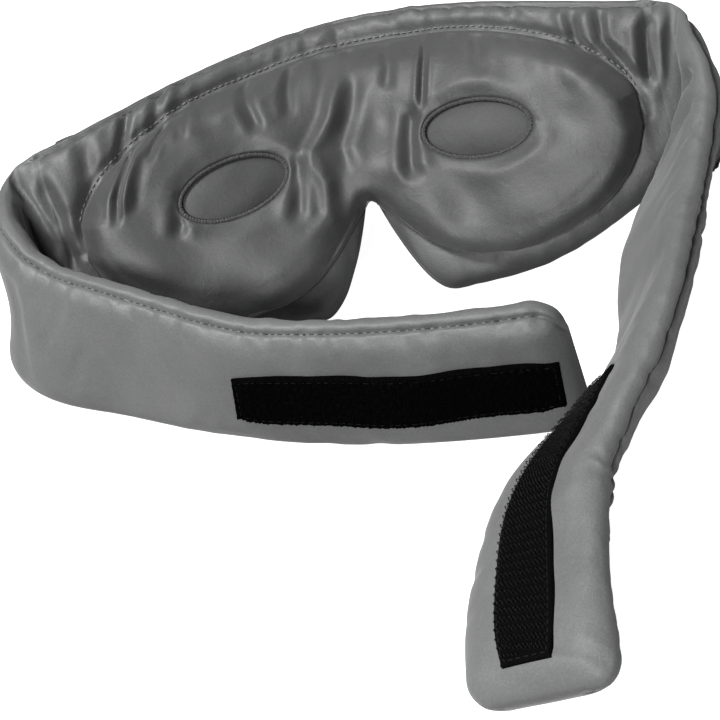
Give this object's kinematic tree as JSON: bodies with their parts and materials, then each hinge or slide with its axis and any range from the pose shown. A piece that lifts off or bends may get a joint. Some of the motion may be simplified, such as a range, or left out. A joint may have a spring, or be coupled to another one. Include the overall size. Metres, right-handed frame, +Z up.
{
  "type": "sleep eye mask",
  "caption": "Padded satin sleep mask with a contoured face cushion, recessed eye ovals and two folded-back straps closed by hook-and-loop tape.",
  "frame": {"origin": "centre of the overall footprint, on the table the mask stands on", "axes": "+Z up from the table; +Y the way the wearer faces, from the strap ends towards the front panel; +X towards the wearer's right temple"},
  "size_m": [0.2392, 0.2826, 0.0647],
  "materials": {
    "satin": "soft satin weave, charcoal grey",
    "lining_satin": "soft satin weave, charcoal grey",
    "thread": "spun polyester sewing thread",
    "overlock_edging": "overlocked thread edge",
    "wadding": "lofted polyester wadding",
    "foam": "soft open-cell foam",
    "loop_tape": "brushed loop pile",
    "hook_tape": "woven tape with rows of moulded hooks",
    "label": "plain woven tab, no marking"
  },
  "bodies": {
    "mask": {"front_panel": "satin", "mask_padding": "wadding", "lining_panel": "lining_satin", "cushion_foam": "foam", "cushion_cover": "satin", "left_eye_panel": "lining_satin", "right_eye_panel": "lining_satin", "left_eye_edging": "overlock_edging", "right_eye_edging": "overlock_edging", "cushion_topstitch": "thread", "top_seam_thread": "thread", "label_patch": "label"},
    "left_strap_temple": {"left_strap_cover_temple": "satin", "left_strap_filling_temple": "wadding", "left_strap_seam_temple": "thread"},
    "left_strap_middle": {"left_strap_cover_middle": "satin", "left_strap_filling_middle": "wadding", "left_strap_seam_middle": "thread"},
    "left_strap_end": {"left_strap_cover_end": "satin", "left_strap_filling_end": "wadding", "left_strap_seam_end": "thread", "loop_tape": "loop_tape", "loop_tape_stitching": "thread"},
    "right_strap_temple": {"right_strap_cover_temple": "satin", "right_strap_filling_temple": "wadding", "right_strap_seam_temple": "thread"},
    "right_strap_middle": {"right_strap_cover_middle": "satin", "right_strap_filling_middle": "wadding", "right_strap_seam_middle": "thread"},
    "right_strap_end": {"right_strap_cover_end": "satin", "right_strap_filling_end": "wadding", "right_strap_seam_end": "thread", "hook_tape": "hook_tape", "hook_tape_stitching": "thread"}
  },
  "joints": [
    {"name": "left_temple_fold", "type": "hinge", "parent": "mask", "child": "left_strap_temple", "pos_m": [-0.10979, 0.08017, 0.0432], "axis": [0, -0.5044, -0.8635], "range_deg": [-4, 105]},
    {"name": "left_strap_bend", "type": "hinge", "parent": "left_strap_temple", "child": "left_strap_middle", "pos_m": [-0.09734, 0.04175, 0.02941], "axis": [-0.2388, -0.0417, -0.9702], "range_deg": [-16, 2]},
    {"name": "left_strap_twist", "type": "hinge", "parent": "left_strap_middle", "child": "left_strap_end", "pos_m": [-0.05129, 0.01165, 0.02508], "axis": [0.8815, -0.4696, -0.0492], "range_deg": [-60, 60]},
    {"name": "right_temple_fold", "type": "hinge", "parent": "mask", "child": "right_strap_temple", "pos_m": [0.11021, 0.08017, 0.0432], "axis": [0, 0.5044, 0.8635], "range_deg": [0, 105]},
    {"name": "right_strap_bend", "type": "hinge", "parent": "right_strap_temple", "child": "right_strap_middle", "pos_m": [0.09923, 0.02566, 0.03132], "axis": [0.1893, -0.1579, 0.9691], "range_deg": [0, 40]},
    {"name": "right_strap_twist", "type": "hinge", "parent": "right_strap_middle", "child": "right_strap_end", "pos_m": [0.07919, -0.02328, 0.03015], "axis": [-0.4618, -0.8859, -0.0431], "range_deg": [-6, 60]}
  ]
}
